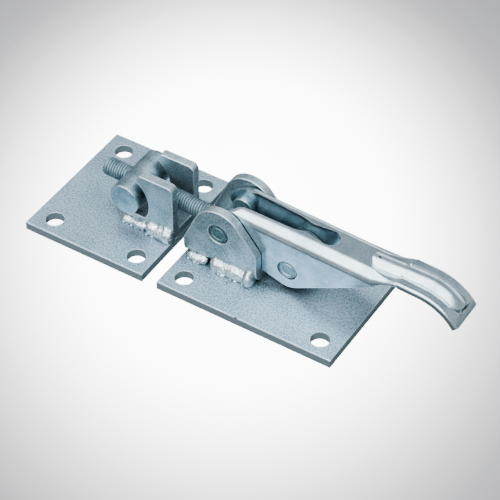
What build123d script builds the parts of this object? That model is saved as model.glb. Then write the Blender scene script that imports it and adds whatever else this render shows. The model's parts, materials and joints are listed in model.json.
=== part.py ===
from build123d import *
from math import cos, radians, sin, sqrt
import os

# Adjustable draw latch in zinc-plated steel: a keeper half with a hook, and a
# latch half with a pressed lever that pulls a threaded rod and its cross bar.
# Millimetres. X runs from the keeper to the grip, Z is up off the mounting face.
# The origin is the middle of the latch plate's bolt pattern, on its underside.

os.makedirs("parts", exist_ok=True)

# Mounting plates
plate_depth = 100.0
plate_thick = 6.0
latch_plate_length = 123.0
keeper_plate_length = 88.0
plate_gap = 10.8
plate_edge_round = 0.6
bolt_hole_r = 6.0
bolt_side_inset = 12.0
latch_bolt_inset = 12.5
keeper_bolt_inset = 12.0
bolt_end_inset = 14.0
bolt_spacing_y = plate_depth - 2 * bolt_side_inset
latch_bolt_spacing_x = latch_plate_length - latch_bolt_inset - bolt_end_inset
keeper_bolt_spacing_x = keeper_plate_length - keeper_bolt_inset - bolt_end_inset

# Folded brackets, each one U of thick sheet lying on its plate
bracket_sheet = 6.0
bend_inner_r = 3.0
bend_outer_r = bend_inner_r + bracket_sheet
lip_over_bend = 0.4

# Pins
pin_r = 7.0
pin_seat_gap = 0.02
running_gap = 0.05
side_gap = 0.3
pin_chamfer = 0.8
link_pin_recess = 0.9

# Lever, pressed from one sheet
lever_sheet = 2.5
lever_half_width = 14.2
lever_bend_r = 7.3
lever_tilt_deg = 2.8
lever_rise = 18.3
front_lobe_r = 11.3
link_lobe_r = 13.0
link_along = 45.8
link_drop = 9.3
web_front = 10.0
channel_end = 100.5
channel_end_depth = 9.6

# Grip end of the lever
grip_half_width = 12.9
grip_bend_r = 3.2
grip_lip = 0.4
neck_narrows = 8.0
neck_climbs = 9.5
grip_waist = channel_end + neck_narrows
grip_waist_half = 12.9
grip_waist_depth = 3.6
grip_waist_bend_r = 3.2
grip_start = grip_waist + neck_climbs
grip_rise = 2.5
grip_straight = 13.0
grip_curl_r = 34.6
grip_curl_deg = 53.5
grip_corner_r = 4.0

# Stiffening rib pressed along the grip
rib_lead = 5.5
rib_start = channel_end - rib_lead
rib_half_width = 6.4
rib_height = 3.2
rib_wall = 2.0
rib_crown_r = 10.5
rib_end_margin = 2.5
drain_hole_r = 1.0
drain_hole_inset = 4.0

# Keyhole slot in the top of the lever, open at the front
slot_front_half = 7.8
slot_rear_half = 6.1
slot_neck_half = 4.3
slot_taper_end = 43.0
slot_neck_at = 51.0
slot_round_r = 6.4
slot_round_at = 65.4

# Latch bracket
latch_ear_half = lever_half_width + side_gap + bracket_sheet
pivot_from_edge = 25.8
pivot_height = 34.8
latch_ear_r = 17.3
latch_foot_inset = 0.5
latch_bracket_length = 52.5
latch_foot_height = 19.8
latch_shoulder_height = 31.5
latch_shoulder_r = 5.0
stub_recess = 0.9
stub_inner_end = 7.0

# Threaded rod with its eye, and the cross bar
rod_r = 6.0
shank_r = 5.4
shank_length = 54.0
bar_reach = 114.9
rod_past_bar = 25.9
rod_chamfer = 1.0
eye_r = 12.0
bar_r = 10.5
bar_half_length = 20.4
bar_chamfer = 0.8
bar_thread_gap = 0.05

# Keeper bracket with its hook
keeper_ear_half = 15.0
hook_room = 9.9
hook_back_x = 5.5
hook_back_z = 3.0
hook_tip_deg = 59.0
hook_tip_rise = 5.0
hook_tip_slant = 3.3
hook_top_r = 2.0
keeper_corner_r = 4.0

# Weld beads along the feet of the brackets
weld_root = 5.0
weld_seat_gap = 0.03
latch_weld_toe = 4.2
latch_short_toe = 2.6
latch_short_start = 2.5
latch_short_end = 17.5
latch_long_start = 20.5
latch_long_margin = 1.0
keeper_weld_toe = 4.6
keeper_thin_toe = 2.2
keeper_thick_length = 20.0
weld_crown = 1.1

# Places worked out from the sizes above
latch_inner_x = -(latch_bolt_inset + latch_bolt_spacing_x / 2)
latch_outer_x = latch_inner_x + latch_plate_length
keeper_inner_x = latch_inner_x - plate_gap
keeper_outer_x = keeper_inner_x - keeper_plate_length
keeper_bolts_x = keeper_inner_x - keeper_bolt_inset - keeper_bolt_spacing_x / 2
web_top = plate_thick + bracket_sheet
tilt = radians(lever_tilt_deg)
pivot_x = latch_inner_x + pivot_from_edge
pivot_z = pivot_height
link_x = pivot_x + link_along * cos(tilt) - link_drop * sin(tilt)
link_z = pivot_z - link_along * sin(tilt) - link_drop * cos(tilt)
bar_x = link_x - bar_reach * cos(tilt)
bar_z = link_z + bar_reach * sin(tilt)
hook_x = bar_x - hook_back_x
hook_z = bar_z - hook_back_z
hook_r = bar_r + hook_room
latch_foot_x = latch_inner_x + latch_foot_inset
latch_heel_x = latch_foot_x + latch_bracket_length
cheek_inner = lever_half_width - lever_sheet
grip_top = lever_rise + grip_rise
curl_start = grip_start + grip_straight
grip_tip = curl_start + grip_curl_r * sin(radians(grip_curl_deg))
rib_end = grip_tip - rib_end_margin


def save(node, shape):
    shape.label = node
    export_step(shape, f"parts/{node}.step")


def rod_across(radius, half_length, x, z):
    """A round bar lying along Y, centred on the middle plane."""
    return Pos(x, 0, z) * Rot(90, 0, 0) * Cylinder(radius, 2 * half_length)


def side_outline(sketch, half_width):
    """A side view drawn in X and Z, given thickness both ways along Y."""
    return extrude(Plane.XZ * sketch, amount=half_width, both=True)


def mounting_plate(left, right, bolts_x, spacing_x):
    plate = Pos((left + right) / 2, 0, plate_thick / 2) * Box(right - left, plate_depth, plate_thick)
    plate = fillet(plate.edges().group_by(Axis.Z)[-1], plate_edge_round)
    for x in (-spacing_x / 2, spacing_x / 2):
        for y in (-bolt_spacing_y / 2, bolt_spacing_y / 2):
            plate -= Pos(bolts_x + x, y, plate_thick / 2) * Cylinder(bolt_hole_r, 2 * plate_thick)
    return plate


def folded_channel(left, right, ear_half, top):
    """U section with its web on the plate and its ears standing up."""
    height = top - plate_thick
    outer = Plane.YZ * Pos(0, plate_thick + height / 2) * Rectangle(2 * ear_half, height)
    inner_half = ear_half - bracket_sheet
    inner = Plane.YZ * Pos(0, web_top + height / 2) * Rectangle(2 * inner_half, height)
    outer = fillet(outer.vertices().group_by(Axis.Z)[0], bend_outer_r)
    inner = fillet(inner.vertices().group_by(Axis.Z)[0], bend_inner_r)
    section = outer - inner
    return Pos(left, 0, 0) * extrude(section, amount=right - left, dir=(1, 0, 0))


def keeper_bracket():
    """The hook opens away from the latch, over a low foot that runs out under the bar."""
    tip_angle = radians(hook_tip_deg)
    tip = (hook_x + hook_r * cos(tip_angle), hook_z + hook_r * sin(tip_angle))
    top_left = (tip[0] + hook_tip_slant, tip[1] + hook_tip_rise)
    lip_z = plate_thick + bend_outer_r + lip_over_bend
    outline = Polygon(
        (hook_x, plate_thick),
        (keeper_inner_x, plate_thick),
        (keeper_inner_x, top_left[1]),
        top_left,
        tip,
        (hook_x, tip[1]),
        align=None,
    )
    outline -= Pos(hook_x, hook_z) * Circle(hook_r) & Pos(hook_x, lip_z + hook_r) * Rectangle(
        2 * hook_r, 2 * hook_r
    )
    corner = outline.vertices().sort_by_distance((keeper_inner_x, top_left[1], 0))[0]
    outline = fillet(corner, keeper_corner_r)
    corner = outline.vertices().sort_by_distance((*top_left, 0))[0]
    outline = fillet(corner, hook_top_r)
    channel = folded_channel(hook_x, keeper_inner_x, keeper_ear_half, top_left[1])
    return channel & side_outline(outline, 2 * keeper_ear_half)


def latch_bracket():
    """Ears rounded over the pivot, with a shoulder down to the heel."""
    round_top = Pos(pivot_x, pivot_z) * Circle(latch_ear_r)
    heel = Pos(latch_heel_x - latch_shoulder_r, latch_shoulder_height - latch_shoulder_r)
    feet = Polygon(
        (latch_foot_x, plate_thick),
        (latch_heel_x, plate_thick),
        (latch_heel_x, latch_shoulder_height - latch_shoulder_r),
        (latch_foot_x, latch_foot_height),
        align=None,
    )
    shoulder = heel * Circle(latch_shoulder_r)
    outline = make_hull(round_top.edges() + feet.edges() + shoulder.edges())
    top = pivot_z + latch_ear_r
    channel = folded_channel(latch_foot_x, latch_heel_x, latch_ear_half, top)
    bracket = channel & side_outline(outline, 2 * latch_ear_half)
    return bracket - rod_across(pin_r + pin_seat_gap, 2 * latch_ear_half, pivot_x, pivot_z)


def pivot_stub(side):
    """Pin held in one ear, reaching through the lever's cheek and short of the rod."""
    outer_end = latch_ear_half - stub_recess
    length = outer_end - stub_inner_end
    stub = Cylinder(pin_r, length)
    stub = chamfer(stub.edges().group_by(Axis.Z)[-1], pin_chamfer)
    turned = Rot(90 * side, 0, 0) * stub
    return Pos(pivot_x, side * (stub_inner_end + length / 2), pivot_z) * turned


def lever_place():
    """The lever is drawn level about its pivot, then tilted to lie along the rod."""
    return Pos(pivot_x, 0, pivot_z) * Rot(0, lever_tilt_deg, 0)


def hat_section(along, top, half_width, bend_r, depth):
    """Closed section of the folded sheet, standing across the lever."""
    inner_half = half_width - lever_sheet
    inner_r = bend_r - lever_sheet
    line = Polyline(
        (-half_width, top - depth),
        (-half_width, top),
        (half_width, top),
        (half_width, top - depth),
        (inner_half, top - depth),
        (inner_half, top - lever_sheet),
        (-inner_half, top - lever_sheet),
        (-inner_half, top - depth),
        close=True,
    )
    section = make_face(line)
    outer = section.vertices().group_by(Axis.Y)[-1]
    section = fillet(outer, bend_r)
    inner_corners = [
        v for v in section.vertices()
        if abs(abs(v.X) - inner_half) < 1e-6 and abs(v.Y - top + lever_sheet) < 1e-6
    ]
    section = fillet(inner_corners, inner_r)
    across = Plane(origin=(along, 0, 0), x_dir=(0, 1, 0), z_dir=(1, 0, 0))
    return across * section


def lever_channel():
    """Straight channel of the lever, trimmed to the outline of its cheeks."""
    deep = lever_rise + link_drop + 2 * link_lobe_r
    section = hat_section(-2 * front_lobe_r, lever_rise, lever_half_width, lever_bend_r, deep)
    channel = extrude(section, amount=channel_end + 2 * front_lobe_r, dir=(1, 0, 0))
    front_lobe = Circle(front_lobe_r)
    link_lobe = Pos(link_along, -link_drop) * Circle(link_lobe_r)
    upper = Polygon(
        (web_front, lever_rise),
        (channel_end, lever_rise),
        (channel_end, lever_rise - channel_end_depth),
        align=None,
    )
    outline = make_hull(front_lobe.edges() + link_lobe.edges() + upper.edges())
    return channel & side_outline(outline, 2 * lever_half_width)


def over_the_grip(neck_sections, grip_section):
    """Carries a section over the neck, along the grip and round its curl."""
    neck = loft(neck_sections)
    straight = extrude(grip_section, amount=grip_straight, dir=(1, 0, 0))
    curl_axis = Axis((curl_start, 0, grip_top - grip_curl_r), (0, 1, 0))
    curl = revolve(Pos(grip_straight, 0, 0) * grip_section, curl_axis, grip_curl_deg)
    return neck + straight + curl


def grip_sheet():
    """The channel narrows at the neck to a shallow flanged strip that curls down."""
    depth = grip_bend_r + grip_lip
    start = hat_section(channel_end, lever_rise, lever_half_width, lever_bend_r, channel_end_depth)
    waist = hat_section(grip_waist, lever_rise, grip_waist_half, grip_waist_bend_r, grip_waist_depth)
    grip = hat_section(grip_start, grip_top, grip_half_width, grip_bend_r, depth)
    return over_the_grip([start, waist, grip], grip)


def rib_run(half_width, rise, depth, crown_r=0):
    """Solid strip of the rib's width, from the web over the grip, with round ends."""
    places = ((channel_end, lever_rise), (grip_waist, lever_rise), (grip_start, grip_top))
    sections = []
    for along, top in places:
        across = Plane(origin=(along, 0, 0), x_dir=(0, 1, 0), z_dir=(1, 0, 0))
        strip = Pos(0, top + rise - depth / 2) * Rectangle(2 * half_width, depth)
        if crown_r:
            strip &= Pos(0, top + rise - crown_r) * Circle(crown_r)
        sections.append(across * strip)
    on_web = extrude(sections[0], amount=rib_start - channel_end, dir=(1, 0, 0))
    run = on_web + over_the_grip(sections, sections[-1])
    plan = Pos((rib_start + rib_end) / 2, 0) * SlotOverall(rib_end - rib_start, 2 * half_width)
    return run & extrude(plan, amount=2 * grip_curl_r, both=True)


def lever():
    body = lever_channel() + grip_sheet()
    body += rib_run(rib_half_width, rib_height, rib_height + lever_sheet / 2, rib_crown_r)
    body -= rib_run(rib_half_width - rib_wall, rib_height - lever_sheet, 2 * rib_height)
    square_end = Pos(grip_tip, 0) * Rectangle(2 * grip_corner_r, 4 * grip_half_width)
    round_end = Pos(grip_tip - 2 * grip_corner_r, 0) * RectangleRounded(
        4 * grip_corner_r, 2 * grip_half_width, grip_corner_r
    )
    body -= extrude(square_end - round_end, amount=2 * grip_curl_r, both=True)
    body -= Pos(rib_start + drain_hole_inset, 0, lever_rise) * Cylinder(drain_hole_r, 4 * lever_sheet)
    body -= slot()
    body -= rod_across(pin_r + running_gap, 2 * lever_half_width, 0, 0)
    body -= rod_across(pin_r + pin_seat_gap, 2 * lever_half_width, link_along, -link_drop)
    return lever_place() * body


def slot():
    """Keyhole seen from above: a tapering slot, a neck and a round end."""
    outline = Polygon(
        (0, -slot_front_half),
        (slot_taper_end, -slot_rear_half),
        (slot_neck_at, -slot_neck_half),
        (slot_round_at, -slot_round_r),
        (slot_round_at, slot_round_r),
        (slot_neck_at, slot_neck_half),
        (slot_taper_end, slot_rear_half),
        (0, slot_front_half),
        align=None,
    )
    outline += Pos(slot_round_at, 0) * Circle(slot_round_r)
    return extrude(Pos(0, 0, lever_rise) * outline, amount=lever_sheet * 2, both=True)


def eye_rod():
    """Forged in one piece: the eye on the link pin, a plain shank and the threaded end."""
    eye = rod_across(eye_r, cheek_inner - side_gap, link_x, link_z)
    rod_end = bar_reach + rod_past_bar
    along = Plane(origin=(link_x, 0, link_z), x_dir=(0, 1, 0), z_dir=(-cos(tilt), 0, sin(tilt)))
    shank = extrude(along * Circle(shank_r), amount=shank_length)
    threaded = extrude(along.offset(shank_length) * Circle(rod_r), amount=rod_end - shank_length)
    end_faces = threaded.faces().sort_by(Axis.X)
    threaded = chamfer(end_faces[0].edges(), rod_chamfer)
    body = eye + shank + threaded
    return body - rod_across(pin_r + running_gap, 2 * eye_r, link_x, link_z)


def cross_bar():
    """Round bar that rides on the thread and drops into the hook."""
    bar = Cylinder(bar_r, 2 * bar_half_length)
    bar = chamfer(bar.edges().filter_by(GeomType.CIRCLE), bar_chamfer)
    bar = Pos(bar_x, 0, bar_z) * Rot(90, 0, 0) * bar
    along = Plane(origin=(bar_x, 0, bar_z), x_dir=(0, 1, 0), z_dir=(-cos(tilt), 0, sin(tilt)))
    hole = extrude(along * Circle(rod_r + bar_thread_gap), amount=2 * bar_r, both=True)
    return bar - hole


def link_pin():
    """Pin through both cheeks and the eye, its ends just below the cheeks' faces."""
    half_length = lever_half_width - link_pin_recess
    return rod_across(pin_r, half_length, link_x, link_z)


def weld_bead(left, right, ear_half, toe, side):
    """Bead in the corner between a bracket's bend and its plate, drawn for one side."""
    seat_r = bend_outer_r + weld_seat_gap
    bend_y = ear_half - bend_outer_r
    bend_z = plate_thick + bend_outer_r
    root_y = ear_half - weld_root
    root_z = bend_z - sqrt(seat_r**2 - (root_y - bend_y) ** 2)
    slope = radians(45 - 90)
    seat_mid = (bend_y + seat_r * cos(slope), bend_z + seat_r * sin(slope))
    high = (bend_y + seat_r, bend_z)
    low = (ear_half + toe, plate_thick)
    face_mid = ((high[0] + low[0]) / 2 + weld_crown, (high[1] + low[1]) / 2 + weld_crown / 2)
    outline = make_face(
        [
            Line((root_y, plate_thick), low),
            ThreePointArc(low, face_mid, high),
            ThreePointArc(high, seat_mid, (root_y, root_z)),
            Line((root_y, root_z), (root_y, plate_thick)),
        ]
    )
    bead = extrude(Plane(origin=(left, 0, 0), x_dir=(0, 1, 0), z_dir=(1, 0, 0)) * outline, amount=right - left)
    if side < 0:
        bead = mirror(bead, Plane.XZ)
    return bead


save("keeper_plate", mounting_plate(keeper_outer_x, keeper_inner_x, keeper_bolts_x, keeper_bolt_spacing_x))
save("latch_plate", mounting_plate(latch_inner_x, latch_outer_x, 0, latch_bolt_spacing_x))
save("keeper_bracket", keeper_bracket())
save("latch_bracket", latch_bracket())
save("lever_handle", lever())
save("link_pin", link_pin())
save("eye_rod", eye_rod())
save("cross_bar", cross_bar())
for name, side in (("near", -1), ("far", 1)):
    save(f"pivot_stub_{name}", pivot_stub(side))
    short = (latch_foot_x + latch_short_start, latch_foot_x + latch_short_end)
    long = (latch_foot_x + latch_long_start, latch_heel_x - latch_long_margin)
    save(f"latch_weld_short_{name}", weld_bead(*short, latch_ear_half, latch_short_toe, side))
    save(f"latch_weld_long_{name}", weld_bead(*long, latch_ear_half, latch_weld_toe, side))
    thick_from = keeper_inner_x - keeper_thick_length
    save(f"keeper_weld_{name}", weld_bead(thick_from, keeper_inner_x, keeper_ear_half, keeper_weld_toe, side))
    save(f"keeper_tack_{name}", weld_bead(hook_x, thick_from, keeper_ear_half, keeper_thin_toe, side))
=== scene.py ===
# Adjustable draw latch in bright zinc plate: finishes, thread, welds, light and camera.
import json
import math
import random

import bpy
from mathutils import Matrix, Vector

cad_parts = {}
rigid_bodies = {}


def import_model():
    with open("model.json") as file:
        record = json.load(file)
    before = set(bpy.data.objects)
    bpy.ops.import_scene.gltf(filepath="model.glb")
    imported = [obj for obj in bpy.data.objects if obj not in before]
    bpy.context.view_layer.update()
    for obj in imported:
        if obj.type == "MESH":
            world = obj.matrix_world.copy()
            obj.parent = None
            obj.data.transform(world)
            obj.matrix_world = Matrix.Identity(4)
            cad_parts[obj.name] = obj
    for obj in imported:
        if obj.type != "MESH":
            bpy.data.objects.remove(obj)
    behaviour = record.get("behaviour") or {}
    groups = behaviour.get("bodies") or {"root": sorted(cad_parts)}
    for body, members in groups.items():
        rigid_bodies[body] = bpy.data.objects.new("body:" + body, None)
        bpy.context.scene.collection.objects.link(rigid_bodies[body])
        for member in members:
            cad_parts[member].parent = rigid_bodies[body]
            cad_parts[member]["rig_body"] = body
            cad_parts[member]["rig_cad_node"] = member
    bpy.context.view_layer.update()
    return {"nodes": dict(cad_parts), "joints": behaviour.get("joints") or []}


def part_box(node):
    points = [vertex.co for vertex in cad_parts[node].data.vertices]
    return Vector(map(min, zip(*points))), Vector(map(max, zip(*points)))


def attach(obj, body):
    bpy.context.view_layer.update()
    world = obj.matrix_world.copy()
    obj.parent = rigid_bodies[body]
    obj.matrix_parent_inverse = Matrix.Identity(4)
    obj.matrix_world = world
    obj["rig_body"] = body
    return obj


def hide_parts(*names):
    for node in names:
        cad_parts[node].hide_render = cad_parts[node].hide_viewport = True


mm = 0.001
samePoint = 0.002 * mm  # corners of a solid's loose triangles this close are one point
facing = 0.9  # a face whose normal has this much of a direction looks that way

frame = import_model()
nodes = frame["nodes"]
print("Frame loaded with", len(nodes), "solids")


def linear(hexCode):
    # sRGB hex to the linear colour that the shaders work in
    parts = [int(hexCode[i:i + 2], 16) / 255 for i in (1, 3, 5)]
    return [c / 12.92 if c <= 0.04045 else ((c + 0.055) / 1.055) ** 2.4 for c in parts] + [1]


def addNode(tree, kind, settings=None, links=None):
    # one node with its settings, then its links: a number or a capitalised name is an input
    node = tree.nodes.new("ShaderNode" + kind)
    for key, value in (settings or {}).items():
        if isinstance(key, int) or key[0].isupper():
            node.inputs[key].default_value = value
        else:
            setattr(node, key, value)
    for key, socket in (links or {}).items():
        tree.links.new(socket, node.inputs[key])
    return node


def deselectAll():
    for thing in bpy.context.selected_objects:
        thing.select_set(False)


def makeActive(thing):
    deselectAll()
    thing.select_set(True)
    bpy.context.view_layer.objects.active = thing


def selectFaces(thing, wanted):
    # picks faces by a test on each, then stays in edit mode
    bpy.ops.object.mode_set(mode="EDIT")
    bpy.ops.mesh.select_mode(type="FACE")
    bpy.ops.mesh.select_all(action="DESELECT")
    bpy.ops.object.mode_set(mode="OBJECT")
    for face in thing.data.polygons:
        face.select = bool(wanted(face))
    bpy.ops.object.mode_set(mode="EDIT")


def applyModifier(thing, kind, **settings):
    modifier = thing.modifiers.new(kind.title(), kind)
    for key, value in settings.items():
        setattr(modifier, key, value)
    makeActive(thing)
    bpy.ops.object.modifier_apply(modifier=modifier.name)


def mergedCopy(node, name):
    # a copy of a solid of the frame, with its loose triangles joined up
    copy = nodes[node].copy()
    copy.data = nodes[node].data.copy()
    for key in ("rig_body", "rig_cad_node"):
        del copy[key]
    copy.parent = None
    copy.name = copy.data.name = name
    bpy.context.scene.collection.objects.link(copy)
    makeActive(copy)
    bpy.ops.object.mode_set(mode="EDIT")
    bpy.ops.mesh.select_all(action="SELECT")
    bpy.ops.mesh.remove_doubles(threshold=samePoint)
    bpy.ops.object.mode_set(mode="OBJECT")
    return copy


def settle(piece, matrix=None):
    # leaves the place in the mesh and the object at the origin
    makeActive(piece)
    if matrix is not None:
        piece.matrix_world = matrix @ piece.matrix_world
        bpy.context.view_layer.update()
    bpy.ops.object.transform_apply(location=True, rotation=True, scale=True)


def smooth(piece, degrees):
    makeActive(piece)
    bpy.ops.object.shade_smooth_by_angle(angle=math.radians(degrees))


# Every finish is electroplated bright zinc. What lies under the plating sets its grain.
# Grains finer than about 0.9 mm would not show in the picture, so they are drawn that coarse.
finishes = {
    # hot-rolled plate: scale marks under the zinc give a fine sparkling mottle; the sides are painted a plain,
    # lighter tone that sets how bright they look
    "rolledPlateZinc": {
        "dark": "#4b6975", "light": "#abc2cf", "grainMm": 1.0, "patchMm": 17, "patchShare": 0.1,
        "roughness": (0.34, 0.52), "bumpMm": 0.24, "edgeMm": 0.7, "edge": "#cfe0e6", "dullMm": 26,
        "softenEdges": True, "side": "#b4c8cd",
        # pits in the plating: place and radius in millimetres
        "pits": (((-24.3, -27.5, 6.0), 0.9), ((-81.8, -19.6, 6.0), 0.7), ((-3.7, -50.0, 6.0), 1.5)),
    },
    # folded sheet: cleaner than the plate, with faint marks from the press brake
    "foldedSheetZinc": {
        "dark": "#6d8389", "light": "#afc3c9", "grainMm": 1.0, "patchMm": 12, "patchShare": 0.3,
        "roughness": (0.36, 0.5), "bumpMm": 0.1, "edgeMm": 1.3, "edge": "#d7e6ec", "dullMm": 8,
    },
    # deep-drawn sheet: polished by the die, with soft lines along the draw
    "pressedSheetZinc": {
        "dark": "#98b1bb", "light": "#c4d7df", "grainMm": 0.9, "patchMm": 14, "patchShare": 0.5,
        "roughness": (0.2, 0.28), "bumpMm": 0.01, "edgeMm": 1.0, "edge": "#f4f9fa", "dullMm": 19,
        "stretch": (0.3, 1, 1),
    },
    # turned pin
    "turnedPinZinc": {
        "dark": "#4a6a73", "light": "#8aa5ae", "grainMm": 0.9, "patchMm": 5, "patchShare": 0.4,
        "roughness": (0.34, 0.5), "bumpMm": 0.12, "edgeMm": 0.6, "edge": "#ccdce0", "dullMm": 8,
    },
    # pin end that was struck hard to spread it: darker and duller than the other pins, with painted shade in
    # its hollows
    "struckPinZinc": {
        "dark": "#2a4a4e", "light": "#5f8083", "grainMm": 1.0, "patchMm": 4, "patchShare": 0.3,
        "roughness": (0.42, 0.6), "bumpMm": 0.18, "edgeMm": 0.5, "edge": "#93adb1", "dullMm": 3,
    },
    # rolled thread: smooth from the rollers and matt, with painted shade between its crests
    "rolledThreadZinc": {
        "dark": "#4a646b", "light": "#829aa0", "grainMm": 0.9, "patchMm": 6, "patchShare": 0.4,
        "roughness": (0.6, 0.75), "bumpMm": 0.03, "edgeMm": 0.1, "edge": "#a4b8be", "dullMm": 14,
        "openCorner": 0.34,
    },
    # drawn bar: smooth round its side, with a mottled sawn end
    "drawnBarZinc": {
        "dark": "#5b7780", "light": "#9ab4bd", "grainMm": 1.0, "patchMm": 8, "patchShare": 0.4,
        "roughness": (0.28, 0.42), "bumpMm": 0.12, "edgeMm": 1.0, "edge": "#c9dae0", "dullMm": 10,
    },
    # weld metal: it froze smooth, so the zinc on it is the brightest on the part
    "weldMetalZinc": {
        "dark": "#728b93", "light": "#f2f8fa", "grainMm": 1.2, "patchMm": 4, "patchShare": 0.3,
        "roughness": (0.2, 0.36), "bumpMm": 0.26, "edgeMm": 0.2, "edge": "#f4f8f8", "dullMm": 8,
    },
}

# what all the plating has in common
plating = {
    "grainDetail": 3, "grainRoughness": 0.65, "patchDetail": 2, "patchRoughness": 0.5,
    "darkBelow": 0.4, "lightAbove": 0.6,  # noise values past which the colour is all dark or all light
    "roughBelow": 0.3, "glossyAbove": 0.7,  # and past which the gloss is least or most
    # along edges the colour is painted lighter, a painted highlight
    "edgeSamples": 4, "edgeFrom": 0.998, "edgeFull": 0.94,  # cosines of the turn at an edge
    # painted shade: below the first occlusion value the colour darkens towards this teal, fully at the second
    "cornerSamples": 6, "openCorner": 0.6, "shutCorner": 0.1, "cornerColour": "#24584f",
    # a plate's upright sides are painted a plain, lighter tone to set how bright they look
    "sideFrom": 0.75, "sideFull": 0.4,  # how much a face looks up or down at a plate's side
    "pitFloor": 0.4, "pitColour": "#3f5055",  # the share of a pit's radius that is flat
}


def zincMaterial(name, look):
    material = bpy.data.materials.new(name)
    material.use_nodes = True
    tree = material.node_tree
    tree.nodes.clear()
    place = addNode(tree, "TexCoord").outputs["Object"]
    inMm = addNode(tree, "VectorMath", {"operation": "SCALE", "Scale": 1 / mm}, {0: place}).outputs[0]
    stretched = addNode(tree, "VectorMath", {"operation": "MULTIPLY", 1: look.get("stretch", (1, 1, 1))},
                        {0: inMm}).outputs[0]
    grain = addNode(tree, "TexNoise", {"Scale": 1 / look["grainMm"], "Detail": plating["grainDetail"],
                                       "Roughness": plating["grainRoughness"]},
                    {"Vector": stretched}).outputs["Fac"]
    patches = addNode(tree, "TexNoise", {"Scale": 1 / look["patchMm"], "Detail": plating["patchDetail"],
                                         "Roughness": plating["patchRoughness"]},
                      {"Vector": inMm}).outputs["Fac"]
    mottle = addNode(tree, "Mix", {"Factor": look["patchShare"]}, {2: grain, 3: patches}).outputs[0]
    shade = addNode(tree, "MapRange", {"From Min": plating["darkBelow"], "From Max": plating["lightAbove"]},
                    {"Value": mottle}).outputs[0]
    colour = addNode(tree, "Mix", {"data_type": "RGBA", 6: linear(look["dark"]), 7: linear(look["light"])},
                     {0: shade}).outputs[2]
    # a painted highlight along the edges: the colour turns lighter where the bevel's normal turns away from the
    # face's
    bevel = addNode(tree, "Bevel", {"samples": plating["edgeSamples"], "Radius": look["edgeMm"] * mm})
    faceNormal = addNode(tree, "NewGeometry").outputs["Normal"]
    turn = addNode(tree, "VectorMath", {"operation": "DOT_PRODUCT"}, {0: bevel.outputs[0], 1: faceNormal})
    edge = addNode(tree, "MapRange", {"From Min": plating["edgeFrom"], "From Max": plating["edgeFull"]},
                   {"Value": turn.outputs["Value"]}).outputs[0]
    colour = addNode(tree, "Mix", {"data_type": "RGBA", 7: linear(look["edge"])},
                     {0: edge, 6: colour}).outputs[2]
    # painted shade: corners, crevices and places under nearby parts are darkened by ambient occlusion,
    # multiplied towards a dark teal
    paintedShade = addNode(tree, "AmbientOcclusion", {"samples": plating["cornerSamples"],
                                                "Distance": look["dullMm"] * mm}).outputs["AO"]
    paintedShade = addNode(tree, "MapRange", {"From Min": look.get("openCorner", plating["openCorner"]),
                                        "From Max": plating["shutCorner"]}, {"Value": paintedShade}).outputs[0]
    colour = addNode(tree, "Mix", {"data_type": "RGBA", "blend_type": "MULTIPLY",
                                   7: linear(plating["cornerColour"])}, {0: paintedShade, 6: colour}).outputs[2]
    # painted light: a plate's upright sides get a plain, lighter tone, picked by which way the face looks
    if "side" in look:
        upright = addNode(tree, "SeparateXYZ", links={0: faceNormal}).outputs["Z"]
        upright = addNode(tree, "Math", {"operation": "ABSOLUTE"}, {0: upright}).outputs[0]
        paintedSideTone = addNode(tree, "MapRange", {"From Min": plating["sideFrom"], "From Max": plating["sideFull"]},
                          {"Value": upright}).outputs[0]
        colour = addNode(tree, "Mix", {"data_type": "RGBA", 7: linear(look["side"])},
                         {0: paintedSideTone, 6: colour}).outputs[2]
    height = grain
    for centre, radius in look.get("pits", ()):
        away = addNode(tree, "VectorMath", {"operation": "DISTANCE", 1: centre}, {0: inMm}).outputs["Value"]
        pit = addNode(tree, "MapRange", {"interpolation_type": "SMOOTHSTEP", "From Min": radius,
                                         "From Max": plating["pitFloor"] * radius}, {"Value": away}).outputs[0]
        colour = addNode(tree, "Mix", {"data_type": "RGBA", 7: linear(plating["pitColour"])},
                         {0: pit, 6: colour}).outputs[2]
        height = addNode(tree, "Math", {"operation": "SUBTRACT"}, {0: height, 1: pit}).outputs[0]
    bump = addNode(tree, "Bump", {"Strength": 1, "Distance": look["bumpMm"] * mm}, {"Height": height})
    if "softenEdges" in look:
        tree.links.new(bevel.outputs[0], bump.inputs["Normal"])
    low, high = look["roughness"]
    rough = addNode(tree, "MapRange", {"From Min": plating["roughBelow"], "From Max": plating["glossyAbove"],
                                       "To Min": high, "To Max": low}, {"Value": grain}).outputs[0]
    shader = addNode(tree, "BsdfPrincipled", {"Metallic": 1},
                     {"Base Color": colour, "Roughness": rough, "Normal": bump.outputs[0]})
    addNode(tree, "OutputMaterial", links={"Surface": shader.outputs[0]})
    return material


materials = {name: zincMaterial(name, look) for name, look in finishes.items()}


def finish(piece, name):
    piece.data.materials.clear()
    piece.data.materials.append(materials[name])


for node in ("keeper_plate", "latch_plate"):
    finish(nodes[node], "rolledPlateZinc")
print("Finishes made:", len(materials))

# sheet metal and bar, with the soft edges that shearing, pressing and barrel plating leave
softEdges = {
    "keeper_bracket": ("keeperChannel", "foldedSheetZinc", 0.9 * mm, "base", "bracket_steel"),
    "latch_bracket": ("latchChannel", "foldedSheetZinc", 0.9 * mm, "base", "bracket_steel"),
    "lever_handle": ("pressedLever", "pressedSheetZinc", 0.55 * mm, "lever", "lever_steel"),
    "cross_bar": ("hookBar", "drawnBarZinc", 0.5 * mm, "bar", "bar_steel"),
}
softening = {"flatDeg": 0.5, "sharpDeg": 55, "segments": 3, "smoothDeg": 40, "faceWeight": 50}

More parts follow.
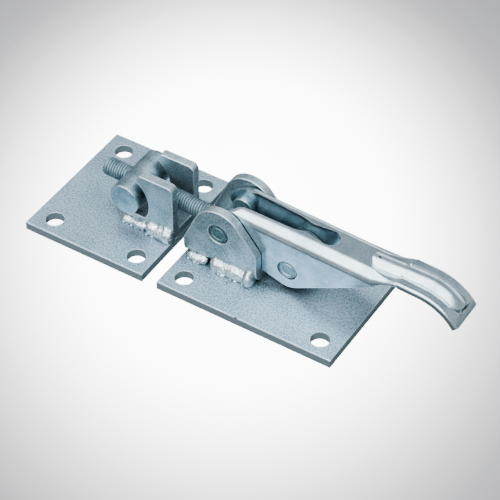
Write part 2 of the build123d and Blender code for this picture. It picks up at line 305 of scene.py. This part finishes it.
# the pressed grip, in millimetres along and above the lever's own line
grip = {
    "tiltDeg": 2.8, "waist": 108.5, "start": 118.0, "curlStart": 131.0, "webTop": 18.3, "top": 20.8,
    "curlRadius": 34.6, "halfWidth": 12.9, "bendRadius": 3.2, "crispRadius": 1.5,
    "ribStart": 95.0, "ribHalf": 6.45, "ribHeight": 3.2, "crownRadius": 10.5,
    # how far before the waist the neck's line is read from, and where the web stops being level
    "neckBefore": 9, "levelBefore": 8,
    # how near to the neck's line, the flange's bend and the rib's crown a point counts as on them
    "nearLine": 0.3, "nearBend": 0.12, "nearCrown": 0.45, "slack": 0.02, "margin": 0.1,
}


def easeBetween(value, low, high):
    share = min(max((value - low) / (high - low), 0), 1)
    return share * share * (3 - 2 * share)


def pressGrip(piece):
    # the die leaves the flange's bend crisp and carries the rib's crown straight over the neck
    low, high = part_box("pivot_stub_near")
    toPivot = Matrix.Translation((-(low.x + high.x) / 2, 0, -(low.z + high.z) / 2))
    toLever = Matrix.Rotation(math.radians(-grip["tiltDeg"]), 4, "Y") @ toPivot
    fromLever = toLever.inverted()
    curlCentre = grip["top"] - grip["curlRadius"]
    flat = grip["halfWidth"] - grip["bendRadius"]
    radius, crownRadius = grip["bendRadius"], grip["crownRadius"]
    spots = [toLever @ vertex.co / mm for vertex in piece.data.vertices]

    def onNeckLine(spot):
        return (grip["waist"] - grip["neckBefore"] < spot.x < grip["start"]
                and abs(abs(spot.y) - flat) < grip["nearLine"] and spot.z > grip["webTop"] - grip["margin"])

    neckLine = sorted((spot.x, spot.z) for spot in spots if onNeckLine(spot))

    def sheetTop(along):
        # height of the pressed sheet's top along the neck
        if along <= grip["waist"] - grip["levelBefore"]:
            return grip["webTop"]
        before = max((t for t in neckLine if t[0] <= along), default=(grip["waist"], grip["webTop"]))
        after = min((t for t in neckLine if t[0] > along), default=(grip["start"], grip["top"]))
        if after[0] <= before[0]:
            return before[1]
        share = (along - before[0]) / (after[0] - before[0])
        return before[1] + min(max(share, 0), 1) * (after[1] - before[1])

    for vertex, spot in zip(piece.data.vertices, spots):
        if spot.x < grip["ribStart"]:
            continue
        curled = spot.x > grip["curlStart"]
        if curled:
            out = Vector((spot.x - grip["curlStart"], 0, spot.z - curlCentre))
            depth = grip["curlRadius"] - out.length
            out.normalize()
        else:
            out = Vector((0, 0, 1))
            depth = sheetTop(spot.x) - spot.z
        past = abs(spot.y) - flat
        onBend = (past > -grip["slack"] and depth < radius + grip["slack"]
                  and abs(math.hypot(past, radius - depth) - radius) < grip["nearBend"])
        if onBend and spot.x > grip["waist"] + grip["margin"]:
            crisp = radius + (grip["crispRadius"] - radius) * easeBetween(spot.x, grip["waist"], grip["start"])
            angle = math.atan2(past, radius - depth)
            spot.y = math.copysign(grip["halfWidth"] - crisp * (1 - math.sin(angle)), spot.y)
            spot += out * (depth - crisp * (1 - math.cos(angle)))
        if abs(spot.y) < grip["ribHalf"] and not curled:
            crown = grip["ribHeight"] - crownRadius + math.sqrt(crownRadius ** 2 - spot.y ** 2)
            if abs(crown + depth) < grip["nearCrown"]:
                climbed = easeBetween(spot.x, grip["ribStart"], grip["curlStart"])
                spot.z = grip["webTop"] + climbed * (grip["top"] - grip["webTop"]) + crown
        vertex.co = fromLever @ (spot * mm)


def roundedCopy(node, name, look, width, body, slot):
    piece = mergedCopy(node, name)
    if node == "lever_handle":
        pressGrip(piece)
    bpy.ops.object.mode_set(mode="EDIT")
    bpy.ops.mesh.select_all(action="SELECT")
    bpy.ops.mesh.dissolve_limited(angle_limit=math.radians(softening["flatDeg"]))
    bpy.ops.object.mode_set(mode="OBJECT")
    applyModifier(piece, "BEVEL", width=width, segments=softening["segments"], limit_method="ANGLE",
                  angle_limit=math.radians(softening["sharpDeg"]), miter_outer="MITER_ARC")
    smooth(piece, softening["smoothDeg"])
    applyModifier(piece, "WEIGHTED_NORMAL", mode="FACE_AREA", weight=softening["faceWeight"], keep_sharp=True)
    finish(piece, look)
    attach(piece, body)
    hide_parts(node)


for node, made in softEdges.items():
    roundedCopy(node, *made)
print("Edges softened on", len(softEdges), "pieces")

# threaded rod, a rolled M12 thread on a plain shank
rod = {
    "pitch": 1.75 * mm, "crestRadius": 6.0 * mm, "rootRadius": 4.93 * mm,
    "crestShare": 0.14, "rootShare": 0.2, "facesPerTurn": 32,
    "shankLength": 54.0 * mm, "fullLength": 140.8 * mm, "endChamfer": 0.5 * mm,
    # the screw is wound longer than the thread and cut square, this many pitches up
    "spareTurns": 3, "cutPitches": 1.5, "overrun": 1.0 * mm, "windGap": 0.0001 * mm, "seamGap": 0.001 * mm,
    "blankSides": 96, "blankSkin": 0.02 * mm, "shankOverlap": 0.3 * mm, "smoothDeg": 25,
}


def threadShell():
    # one pitch of the thread's profile, drawn up the Z axis by extruding a single point, then wound
    pitch, depth = rod["pitch"], rod["crestRadius"] - rod["rootRadius"]
    flank = pitch * (1 - rod["crestShare"] - rod["rootShare"]) / 2
    deselectAll()
    bpy.ops.mesh.primitive_plane_add(size=mm, location=(rod["rootRadius"], 0, 0))
    shell = bpy.context.object
    shell.name = "threadedRod"
    bpy.ops.object.mode_set(mode="EDIT")
    bpy.ops.mesh.select_all(action="SELECT")
    bpy.ops.mesh.merge(type="CENTER")
    for move in ((0, 0, pitch * rod["rootShare"]), (depth, 0, flank),
                 (0, 0, pitch * rod["crestShare"]), (-depth, 0, flank)):
        bpy.ops.mesh.extrude_region_move(TRANSFORM_OT_translate={"value": move})
    bpy.ops.object.mode_set(mode="OBJECT")
    settle(shell)
    threadLength = rod["fullLength"] - rod["shankLength"]
    turns = math.ceil(threadLength / pitch) + rod["spareTurns"]
    applyModifier(shell, "SCREW", axis="Z", angle=2 * math.pi, screw_offset=pitch, iterations=turns,
                  steps=rod["facesPerTurn"], render_steps=rod["facesPerTurn"], use_merge_vertices=True,
                  merge_threshold=rod["windGap"], use_normal_calculate=True)
    firstCut = rod["cutPitches"] * pitch
    lastCut = firstCut + threadLength + rod["overrun"]
    bpy.ops.object.mode_set(mode="EDIT")
    bpy.ops.mesh.select_all(action="SELECT")
    bpy.ops.mesh.remove_doubles(threshold=rod["seamGap"])
    bpy.ops.mesh.bisect(plane_co=(0, 0, firstCut), plane_no=(0, 0, 1), use_fill=True, clear_inner=True)
    bpy.ops.mesh.select_all(action="SELECT")
    bpy.ops.mesh.bisect(plane_co=(0, 0, lastCut), plane_no=(0, 0, 1), use_fill=True, clear_outer=True)
    bpy.ops.mesh.select_all(action="SELECT")
    bpy.ops.mesh.normals_make_consistent(inside=False)
    bpy.ops.object.mode_set(mode="OBJECT")
    shell.location.z = rod["shankLength"] - firstCut - rod["overrun"]
    settle(shell)
    return shell


def chamferedBlank():
    # the bar that the thread is trimmed to, with its end turned to a chamfer
    deselectAll()
    length = rod["fullLength"]
    radius = rod["crestRadius"] + rod["blankSkin"]
    bpy.ops.mesh.primitive_cylinder_add(vertices=rod["blankSides"], radius=radius, depth=length,
                                        location=(0, 0, length / 2))
    blank = bpy.context.object
    settle(blank)
    selectFaces(blank, lambda face: face.normal.z > facing)
    bpy.ops.mesh.bevel(offset=rod["endChamfer"], offset_type="OFFSET", segments=1, affect="EDGES")
    bpy.ops.object.mode_set(mode="OBJECT")
    return blank


linkLow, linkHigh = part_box("link_pin")
linkCentre = (linkLow + linkHigh) / 2
rodAxis = Vector(next(j["axis"] for j in frame["joints"] if j["name"] == "bar_adjust")).normalized()
alongRod = Matrix.Translation(linkCentre) @ rodAxis.to_track_quat("Z", "Y").to_matrix().to_4x4()

threadedRod = threadShell()
blank = chamferedBlank()
applyModifier(threadedRod, "BOOLEAN", operation="INTERSECT", solver="EXACT", object=blank)
settle(threadedRod, alongRod)
eye = mergedCopy("eye_rod", "eyeAndShank")
bpy.ops.object.mode_set(mode="EDIT")
bpy.ops.mesh.select_all(action="SELECT")
shankEnd = linkCentre + rodAxis * (rod["shankLength"] - rod["shankOverlap"])
bpy.ops.mesh.bisect(plane_co=shankEnd, plane_no=rodAxis, use_fill=True, clear_outer=True)
bpy.ops.object.mode_set(mode="OBJECT")
applyModifier(threadedRod, "BOOLEAN", operation="UNION", solver="EXACT", object=eye)
for spare in (blank, eye):
    bpy.data.objects.remove(spare)
smooth(threadedRod, rod["smoothDeg"])
finish(threadedRod, "rolledThreadZinc")
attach(threadedRod, "rod")
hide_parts("eye_rod")
print("Threaded rod:", len(threadedRod.data.polygons), "faces")

# weld beads: frozen puddles laid over each other, then melted together
bead = {
    # one puddle: half its length, how it narrows, and how far it leans over the one before, in degrees
    "puddleHalf": 4.2 * mm, "taper": 0.16, "lead": 14, "leadSpread": (0.6, 1.3), "sink": 0.30,
    "height": 8.4 * mm, "insideEar": 0.9 * mm, "thinHeight": 4.8 * mm, "thinInsideEar": 2.4 * mm,
    # the row of them: where it starts and stops in half lengths, and how regular the hand was
    "startHalves": 0.8, "stopHalves": 0.85, "puddleStep": 1.9 * mm, "stepSpread": (0.85, 1.15),
    "unevenness": 0.08, "endLump": 1.18, "lumpSteps": 1.5,
    # drips along the toe: length, width and height go by their shape
    "dripSize": 0.8 * mm, "dripSpread": (0.6, 1.3), "dripShape": (1.5, 1.0, 0.8), "dripTurn": 40,
    "dripEvery": 3.8 * mm, "dripStepSpread": (0.6, 1.4), "dripStart": 2.0 * mm, "dripStop": 1.0 * mm,
    "dripInside": 0.4 * mm, "dripScatter": 0.5 * mm, "dripOutmost": 0.6, "dripLift": 0.15 * mm,
    # melting together
    "voxel": 0.25 * mm, "melt": 0.5, "rounding": 5, "grainHeight": 0.45 * mm, "grainSize": 1.5 * mm,
    "smoothDeg": 80,
}


def weldPuddle():
    # one puddle of weld metal, fuller at the end that froze last
    deselectAll()
    bpy.ops.mesh.primitive_ico_sphere_add(subdivisions=4, radius=1)
    puddle = bpy.context.object
    applyModifier(puddle, "SIMPLE_DEFORM", deform_method="TAPER", deform_axis="X", factor=bead["taper"])
    return puddle


def layPuddle(pattern, place, halves, lead):
    puddle = pattern.copy()
    puddle.data = pattern.data.copy()
    bpy.context.scene.collection.objects.link(puddle)
    grow = Matrix.Diagonal((*halves, 1))
    settle(puddle, Matrix.Translation(place) @ Matrix.Rotation(math.radians(lead), 4, "Z") @ grow)
    return puddle


def weldBead(node, name, dice):
    low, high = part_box(node)
    side = 1 if low.y + high.y > 0 else -1
    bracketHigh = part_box("keeper_bracket" if "keeper" in node else "latch_bracket")[1]
    ear, toe = bracketHigh.y, max(abs(low.y), abs(high.y))
    thin = "tack" in node or "short" in node
    height = bead["thinHeight" if thin else "height"]
    inside = bead["thinInsideEar" if thin else "insideEar"]
    across = toe - ear + inside
    pattern = weldPuddle()
    laid = []
    along = low.x + bead["startHalves"] * bead["puddleHalf"]
    last = high.x - bead["stopHalves"] * bead["puddleHalf"]
    while along < last:
        size = 1 + bead["unevenness"] * dice.uniform(-1, 1)
        if along > last - bead["lumpSteps"] * bead["puddleStep"] and not thin:
            size *= bead["endLump"]
        place = (along, side * (ear - inside), low.z + bead["sink"] * height)
        halves = (bead["puddleHalf"], across * size, height * (1 - bead["sink"]) * size)
        laid.append(layPuddle(pattern, place, halves, side * -bead["lead"] * dice.uniform(*bead["leadSpread"])))
        along += bead["puddleStep"] * dice.uniform(*bead["stepSpread"])
    along = low.x + bead["dripStart"]
    while along < high.x - bead["dripStop"]:
        drop = bead["dripSize"] * dice.uniform(*bead["dripSpread"])
        outward = toe - bead["dripInside"] + bead["dripScatter"] * dice.uniform(-1, bead["dripOutmost"])
        place = (along, side * outward, low.z + bead["dripLift"])
        halves = [share * drop for share in bead["dripShape"]]
        laid.append(layPuddle(pattern, place, halves, bead["dripTurn"] * dice.uniform(-1, 1)))
        along += bead["dripEvery"] * dice.uniform(*bead["dripStepSpread"])
    bpy.data.objects.remove(pattern)
    piece = laid[0]
    makeActive(piece)
    for puddle in laid:
        puddle.select_set(True)
    bpy.ops.object.join()
    piece.name = piece.data.name = name
    applyModifier(piece, "REMESH", mode="VOXEL", voxel_size=bead["voxel"])
    applyModifier(piece, "SMOOTH", factor=bead["melt"], iterations=bead["rounding"])
    applyModifier(piece, "DISPLACE", texture=spatterTexture, texture_coords="GLOBAL",
                  strength=bead["grainHeight"], mid_level=0.5)
    smooth(piece, bead["smoothDeg"])
    finish(piece, "weldMetalZinc")
    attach(piece, "base")
    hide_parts(node)


spatterTexture = bpy.data.textures.new("weldSpatter", "CLOUDS")
spatterTexture.noise_scale = bead["grainSize"]
for node in sorted(nodes):
    if "weld" in node or "tack" in node:
        words = node.split("_")
        dice = random.Random(len(node) + 3 * words.count("far"))
        weldBead(node, words[0] + "".join(word.title() for word in words[1:]), dice)
print("Weld beads laid")

# pins, turned and then struck in their ends
pin = {
    "radius": 7.0 * mm, "sides": 96, "innerChamfer": 1.0 * mm, "chamferSegments": 3,
    "edgeRound": 0.3 * mm, "edgeSegments": 2, "sharpDeg": 50, "smoothDeg": 30,
    # the gap where the load has pushed the pin over in its hole
    "rimWidth": 0.06 * mm, "gapDepth": 1.6 * mm, "gapWidth": 0.72 * mm, "gapWall": 0.02 * mm,
    "pushed": (-0.42 * mm, -0.36 * mm),
    # the struck ring and the dish inside it
    "ringAt": 1.5 * mm, "ringWidth": 0.7 * mm, "ringDepth": 0.45 * mm, "dishWidth": 1.2 * mm, "dish": 0.5 * mm,
}


def strikeEnd():
    # insets of the chosen end face: the gap round the pin, then the struck ring and its dish
    bpy.ops.mesh.inset(thickness=pin["rimWidth"], depth=0)
    bpy.ops.mesh.inset(thickness=pin["gapWall"], depth=-pin["gapDepth"])
    bpy.ops.mesh.inset(thickness=pin["gapWidth"], depth=0)
    bpy.ops.transform.translate(value=(*pin["pushed"], 0))
    bpy.ops.mesh.inset(thickness=pin["gapWall"], depth=pin["gapDepth"])
    bpy.ops.mesh.inset(thickness=pin["ringAt"], depth=0)
    for depth in (-pin["ringDepth"], 0, pin["ringDepth"]):
        bpy.ops.mesh.inset(thickness=pin["ringWidth"] / 3, depth=depth)
    bpy.ops.mesh.inset(thickness=pin["dishWidth"], depth=-pin["dish"])


def turnedPin(node, name, body, struckEnds, look):
    # a pin lying across the latch, with its struck ends towards the given sides
    low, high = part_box(node)
    deselectAll()
    bpy.ops.mesh.primitive_cylinder_add(vertices=pin["sides"], radius=pin["radius"], depth=high.y - low.y)
    piece = bpy.context.object
    piece.name = name
    settle(piece)
    for up in (1, -1):
        selectFaces(piece, lambda face: face.normal.z * up > facing and face.center.z * up > 0)
        if -up in struckEnds:
            strikeEnd()
        else:
            bpy.ops.mesh.bevel(offset=pin["innerChamfer"], offset_type="OFFSET",
                               segments=pin["chamferSegments"], affect="EDGES")
        bpy.ops.object.mode_set(mode="OBJECT")
    applyModifier(piece, "BEVEL", width=pin["edgeRound"], segments=pin["edgeSegments"], limit_method="ANGLE",
                  angle_limit=math.radians(pin["sharpDeg"]))
    centre = (low + high) / 2
    settle(piece, Matrix.Translation(centre) @ Matrix.Rotation(math.radians(90), 4, "X"))
    smooth(piece, pin["smoothDeg"])
    finish(piece, look)
    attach(piece, body)
    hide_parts(node)


turnedPin("pivot_stub_near", "pivotPinNear", "base", (-1,), "struckPinZinc")
turnedPin("pivot_stub_far", "pivotPinFar", "base", (1,), "turnedPinZinc")
turnedPin("link_pin", "linkPin", "lever", (-1, 1), "turnedPinZinc")
print("Pins turned")

studio = {
    # what the metal mirrors, from straight down to straight up, with a dim line at the horizon
    "skyBands": ((0.0, "#67737b"), (0.25, "#7a868e"), (0.4, "#d6dade"), (0.465, "#ffffff"), (0.49, "#2b4a50"),
                 (0.52, "#3b5b61"), (0.56, "#e9edf0"), (0.72, "#dfe4e9"), (0.79, "#a3abb4"), (0.86, "#969fa9"),
                 (1.0, "#b4bbc4")),
    "skyStrength": 0.95, "backdrop": "#c4c6c8",
    # the darker part low behind the latch: where it starts and is full, on Y and on Z
    "lowBehind": "#2f4a4e", "behindFrom": 0.2, "behindFull": 0.5, "lowFrom": -0.05, "lowFull": -0.3,
    # how the painted pool of light on the floor fades outwards: distance in millimetres and paint
    "floorFade": ((0, "#ffffff"), (80, "#e7e7e8"), (100, "#e1e1e2"), (120, "#bcbcbd"), (140, "#979798"),
                  (160, "#737374"), (180, "#575758"), (200, "#424243"), (215, "#3a3a3b"), (240, "#333335")),
    "floorGlow": 14.0, "floorSize": 12.0, "floorPaint": "#2c2c2c", "floorRoughness": 0.9,
    # overhead sheet of light, and a strip low behind the latch
    "keyFrom": (0.0, -0.36, 0.93), "keyAway": 1.7, "keySize": (3.2, 3.6), "keyWatts": 250,
    "backFrom": (0.0, 0.94, 0.30), "backAway": 2.2, "backSize": (3.0, 0.7), "backWatts": 14,
    "lampTint": "#f3f7ff",
}

# where the photograph was taken from, in degrees and metres
aim = {
    "point": (-60.75 * mm, 0, 0),  # on the mounting face, under the latch plate's inner edge
    "azimuth": 32.017, "elevation": 44.177, "roll": -0.279,
    "distance": 1276.596 * mm, "aside": -30.481 * mm, "above": 5.861 * mm,
    "lens": 146.93, "sensor": 36,
    "pool": (-0.052, 0.027, 0),  # middle of the bright pool on the floor
}


def softbox(name, toward, away, size, watts):
    data = bpy.data.lights.new(name, "AREA")
    data.shape, data.size, data.size_y, data.energy = "RECTANGLE", *size, watts
    data.color = linear(studio["lampTint"])[:3]
    light = bpy.data.objects.new(name, data)
    bpy.context.scene.collection.objects.link(light)
    outward = Vector(toward).normalized()
    light.location = Vector(aim["point"]) + outward * away
    # one side of the box runs along the latch, so its mirrored edge follows the lever
    up = outward.cross(Vector((1, 0, 0))).normalized()
    light.rotation_euler = Matrix((up.cross(outward), up, outward)).transposed().to_euler()


def studioFloor():
    # a pale floor that glows as a painted pool of light, bright in the middle and fading outwards, and the
    # metal doesn't mirror it
    deselectAll()
    bpy.ops.mesh.primitive_plane_add(size=studio["floorSize"], location=(0, 0, 0))
    floor = bpy.context.object
    floor.name = "paleFloor"
    floor.visible_glossy = False
    material = bpy.data.materials.new("paleFloorPaint")
    material.use_nodes = True
    tree = material.node_tree
    shader = tree.nodes["Principled BSDF"]
    place = addNode(tree, "TexCoord").outputs["Object"]
    # the painted pool of light is an oval, laid with its short side across the picture's depth
    turned = addNode(tree, "Mapping", {"vector_type": "TEXTURE", "Location": aim["pool"],
                                       "Rotation": (0, 0, math.radians(aim["azimuth"])),
                                       "Scale": (1, 1 / math.sin(math.radians(aim["elevation"])), 1)},
                     {"Vector": place}).outputs[0]
    away = addNode(tree, "VectorMath", {"operation": "LENGTH"}, {0: turned}).outputs["Value"]
    furthest = studio["floorFade"][-1][0]
    share = addNode(tree, "MapRange", {"From Min": 0, "From Max": furthest * mm}, {"Value": away}).outputs[0]
    bands = addNode(tree, "ValToRGB", links={"Fac": share})
    elements = bands.color_ramp.elements
    for i, (distance, hexCode) in enumerate(studio["floorFade"]):
        element = elements[i] if i < 2 else elements.new(distance / furthest)
        element.position = distance / furthest
        element.color = linear(hexCode)
    tree.links.new(bands.outputs["Color"], shader.inputs["Emission Color"])
    shader.inputs["Base Color"].default_value = linear(studio["floorPaint"])
    shader.inputs["Emission Strength"].default_value = studio["floorGlow"]
    shader.inputs["Roughness"].default_value = studio["floorRoughness"]
    floor.data.materials.append(material)


def sky():
    world = bpy.data.worlds.new("softStudio")
    bpy.context.scene.world = world
    world.use_nodes = True
    tree = world.node_tree
    direction = addNode(tree, "TexCoord").outputs["Generated"]
    parts = addNode(tree, "SeparateXYZ", links={0: direction}).outputs
    share = addNode(tree, "MapRange", {"From Min": -1, "From Max": 1}, {"Value": parts["Z"]}).outputs[0]
    bands = addNode(tree, "ValToRGB", links={"Fac": share})
    elements = bands.color_ramp.elements
    for i, (place, hexCode) in enumerate(studio["skyBands"]):
        element = elements[i] if i < 2 else elements.new(place)
        element.position = place
        element.color = linear(hexCode)
    # low down behind the latch the studio is dark
    behind = addNode(tree, "MapRange", {"From Min": studio["behindFrom"], "From Max": studio["behindFull"]},
                     {"Value": parts["Y"]}).outputs[0]
    low = addNode(tree, "MapRange", {"From Min": studio["lowFrom"], "From Max": studio["lowFull"]},
                  {"Value": parts["Z"]}).outputs[0]
    dim = addNode(tree, "Math", {"operation": "MULTIPLY"}, {0: behind, 1: low}).outputs[0]
    mirrored = addNode(tree, "Mix", {"data_type": "RGBA", 7: linear(studio["lowBehind"])},
                       {0: dim, 6: bands.outputs["Color"]}).outputs[2]
    # seen straight on, the backdrop is plain and pale
    seen = addNode(tree, "LightPath").outputs["Is Camera Ray"]
    backdrop = addNode(tree, "Mix", {"data_type": "RGBA", 7: linear(studio["backdrop"])},
                       {0: seen, 6: mirrored}).outputs[2]
    background = tree.nodes["Background"]
    tree.links.new(backdrop, background.inputs["Color"])
    background.inputs["Strength"].default_value = studio["skyStrength"]


def photographCamera():
    azimuth, elevation = math.radians(aim["azimuth"]), math.radians(aim["elevation"])
    back = Vector((math.sin(azimuth) * math.cos(elevation), -math.cos(azimuth) * math.cos(elevation),
                   math.sin(elevation)))
    level = Vector((math.cos(azimuth), math.sin(azimuth), 0))
    roll = Matrix.Rotation(math.radians(-aim["roll"]), 3, back)
    right, up = roll @ level, roll @ back.cross(level)
    data = bpy.data.cameras.new("photographCamera")
    data.lens, data.sensor_width = aim["lens"], aim["sensor"]
    camera = bpy.data.objects.new("photographCamera", data)
    bpy.context.scene.collection.objects.link(camera)
    turn = Matrix((right, up, back)).transposed().to_4x4()
    place = Vector(aim["point"]) + back * aim["distance"] - right * aim["aside"] - up * aim["above"]
    camera.matrix_world = Matrix.Translation(place) @ turn
    bpy.context.scene.camera = camera


studioFloor()
sky()
softbox("keySoftbox", studio["keyFrom"], studio["keyAway"], studio["keySize"], studio["keyWatts"])
softbox("backSoftbox", studio["backFrom"], studio["backAway"], studio["backSize"], studio["backWatts"])
photographCamera()
print("Studio and camera set")
